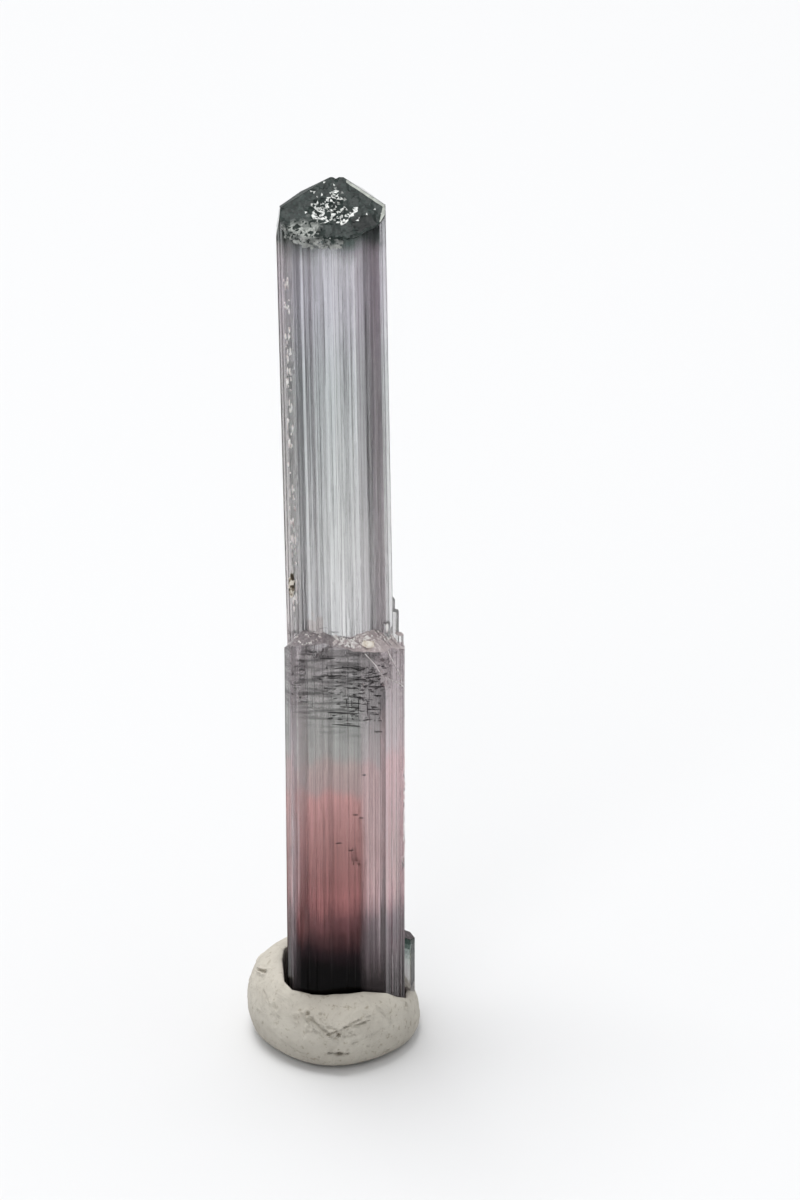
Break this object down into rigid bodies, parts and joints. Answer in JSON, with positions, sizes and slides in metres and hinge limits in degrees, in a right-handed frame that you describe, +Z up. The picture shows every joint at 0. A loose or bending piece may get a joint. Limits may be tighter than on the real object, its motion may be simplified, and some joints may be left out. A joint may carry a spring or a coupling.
{
  "type": "elbaite tourmaline crystal on mounting putty",
  "caption": "Slim striated prism of clear pink, lilac and dark green elbaite tourmaline, stepped out to a stouter foot, standing upright in a pressed lump of grey display putty.",
  "frame": {"origin": "centre of the putty's flat resting face", "axes": "+Z up along the crystal, -Y towards the viewer of the picture, +X to the viewer's right"},
  "size_m": [0.0119, 0.0122, 0.0631],
  "materials": {
    "tourmaline": "clear natural crystal, glossy lengthwise ribs, lilac grey above, pink and near black at the foot, dark green top",
    "putty": "matt grey display putty with pressed creases and pits",
    "albite": "rough cream grain",
    "clay": "dull brown and cream matrix"
  },
  "bodies": {
    "root": {"crystal": "tourmaline", "mounting_putty": "putty", "albite_grain": "albite", "clay_speck": "clay"}
  },
  "joints": []
}
